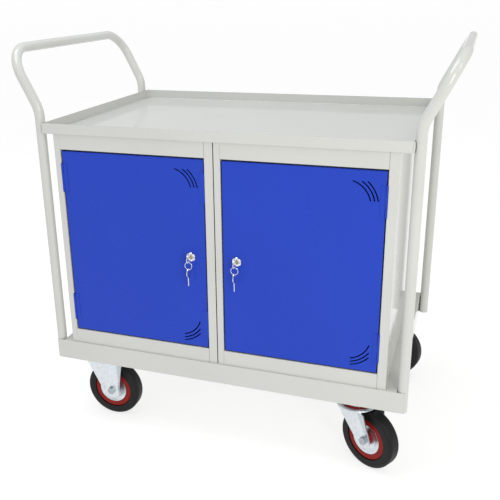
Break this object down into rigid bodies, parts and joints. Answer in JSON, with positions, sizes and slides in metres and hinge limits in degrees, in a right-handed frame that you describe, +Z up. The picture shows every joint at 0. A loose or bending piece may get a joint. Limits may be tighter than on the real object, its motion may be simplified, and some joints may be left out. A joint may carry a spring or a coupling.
{
  "type": "cupboard trolley",
  "caption": "Wheeled steel trolley with two lockable blue cupboards under a lipped tray, tubular push handles at both ends, fixed castors at one end and swivel castors at the other.",
  "frame": {"origin": "on the floor under the middle of the overall box, keys in the locks included", "axes": "+X to the right for someone facing the doors, +Y from the doors to the back, +Z up"},
  "size_m": [1.1206, 0.6524, 1.05],
  "materials": {
    "frame_paint": "light grey powder coat, satin to semi-gloss",
    "door_paint": "bright blue powder coat, semi-gloss",
    "lock_chrome": "bright plated",
    "lock_brass": "dull yellow metal",
    "key_steel": "nickel plated",
    "castor_zinc": "bright zinc plated",
    "castor_red": "red moulded plastic",
    "tyre_rubber": "solid black rubber"
  },
  "bodies": {
    "chassis": {"base_deck": "frame_paint", "castor_bolts": "castor_zinc", "channel_left": "frame_paint", "channel_right": "frame_paint", "cupboard_left_back": "frame_paint", "cupboard_left_rails": "frame_paint", "cupboard_left_shell": "frame_paint", "cupboard_left_stile_left": "frame_paint", "cupboard_left_stile_right": "frame_paint", "cupboard_right_back": "frame_paint", "cupboard_right_rails": "frame_paint", "cupboard_right_shell": "frame_paint", "cupboard_right_stile_left": "frame_paint", "cupboard_right_stile_right": "frame_paint", "end_frame_left": "frame_paint", "end_frame_right": "frame_paint", "frame_hinge_leaves": "door_paint", "top_tray": "frame_paint", "castor_front_left_bracket": "castor_zinc", "castor_front_left_axle": "castor_zinc", "castor_front_right_plate": "castor_zinc", "castor_back_left_bracket": "castor_zinc", "castor_back_left_axle": "castor_zinc", "castor_back_right_plate": "castor_zinc"},
    "door_left": {"door_left_blanking_plates": "door_paint", "door_left_hinge_leaves": "door_paint", "door_left_panel": "door_paint", "lock_left_body": "lock_chrome"},
    "lock_left": {"lock_left_cylinder": "lock_brass", "lock_left_cam": "key_steel", "lock_left_key": "key_steel"},
    "key_ring_left": {"lock_left_key_ring": "lock_chrome"},
    "spare_key_left": {"lock_left_spare_key": "key_steel"},
    "door_right": {"door_right_hinge_leaves": "door_paint", "door_right_panel": "door_paint", "lock_right_body": "lock_chrome"},
    "lock_right": {"lock_right_cylinder": "lock_brass", "lock_right_cam": "key_steel", "lock_right_key": "key_steel"},
    "key_ring_right": {"lock_right_key_ring": "lock_chrome"},
    "spare_key_right": {"lock_right_spare_key": "key_steel"},
    "fork_front": {"castor_front_right_fork": "castor_zinc", "castor_front_right_seal": "castor_red", "castor_front_right_axle": "castor_zinc"},
    "wheel_front_left": {"castor_front_left_tyre": "tyre_rubber", "castor_front_left_rim": "castor_red", "castor_front_left_guards": "castor_zinc"},
    "wheel_front_right": {"castor_front_right_tyre": "tyre_rubber", "castor_front_right_rim": "castor_red", "castor_front_right_guards": "castor_zinc"},
    "fork_back": {"castor_back_right_fork": "castor_zinc", "castor_back_right_seal": "castor_red", "castor_back_right_axle": "castor_zinc"},
    "wheel_back_left": {"castor_back_left_tyre": "tyre_rubber", "castor_back_left_rim": "castor_red", "castor_back_left_guards": "castor_zinc"},
    "wheel_back_right": {"castor_back_right_tyre": "tyre_rubber", "castor_back_right_rim": "castor_red", "castor_back_right_guards": "castor_zinc"}
  },
  "joints": [
    {"name": "door_left_hinge", "type": "hinge", "parent": "chassis", "child": "door_left", "pos_m": [-0.4149, -0.2938, 0.537], "axis": [0, 0, -1], "range_deg": [0, 110]},
    {"name": "lock_left_turn", "type": "hinge", "parent": "door_left", "child": "lock_left", "pos_m": [-0.0651, -0.2928, 0.537], "axis": [0, 1, 0], "range_deg": [0, 90]},
    {"name": "key_ring_left_swing", "type": "hinge", "parent": "lock_left", "child": "key_ring_left", "pos_m": [-0.0651, -0.3137, 0.52887], "axis": [1, 0, 0], "range_deg": [-50, 8]},
    {"name": "spare_key_left_swing", "type": "hinge", "parent": "key_ring_left", "child": "spare_key_left", "pos_m": [-0.0651, -0.3137, 0.51027], "axis": [1, 0, 0], "range_deg": [-40, 6]},
    {"name": "door_right_hinge", "type": "hinge", "parent": "chassis", "child": "door_right", "pos_m": [0.4089, -0.2938, 0.537], "axis": [0, 0, 1], "range_deg": [0, 110]},
    {"name": "lock_right_turn", "type": "hinge", "parent": "door_right", "child": "lock_right", "pos_m": [0.0561, -0.2928, 0.537], "axis": [0, -1, 0], "range_deg": [0, 90]},
    {"name": "key_ring_right_swing", "type": "hinge", "parent": "lock_right", "child": "key_ring_right", "pos_m": [0.0561, -0.3137, 0.52887], "axis": [1, 0, 0], "range_deg": [-50, 8]},
    {"name": "spare_key_right_swing", "type": "hinge", "parent": "key_ring_right", "child": "spare_key_right", "pos_m": [0.0561, -0.3137, 0.51027], "axis": [1, 0, 0], "range_deg": [-40, 6]},
    {"name": "castor_front_right_swivel", "type": "hinge", "parent": "chassis", "child": "fork_front", "pos_m": [0.356, -0.2318, 0.18], "axis": [0, 0, 1], "continuous": true},
    {"name": "wheel_front_right_spin", "type": "hinge", "parent": "fork_front", "child": "wheel_front_right", "pos_m": [0.3967, -0.2553, 0.08], "axis": [-0.5, -0.866, 0], "continuous": true},
    {"name": "wheel_front_left_spin", "type": "hinge", "parent": "chassis", "child": "wheel_front_left", "pos_m": [-0.344, -0.2318, 0.08], "axis": [0, -1, 0], "continuous": true},
    {"name": "castor_back_right_swivel", "type": "hinge", "parent": "chassis", "child": "fork_back", "pos_m": [0.356, 0.2592, 0.18], "axis": [0, 0, 1], "continuous": true},
    {"name": "wheel_back_right_spin", "type": "hinge", "parent": "fork_back", "child": "wheel_back_right", "pos_m": [0.4014, 0.24703, 0.08], "axis": [-0.2588, -0.9659, 0], "continuous": true},
    {"name": "wheel_back_left_spin", "type": "hinge", "parent": "chassis", "child": "wheel_back_left", "pos_m": [-0.344, 0.2592, 0.08], "axis": [0, -1, 0], "continuous": true}
  ]
}
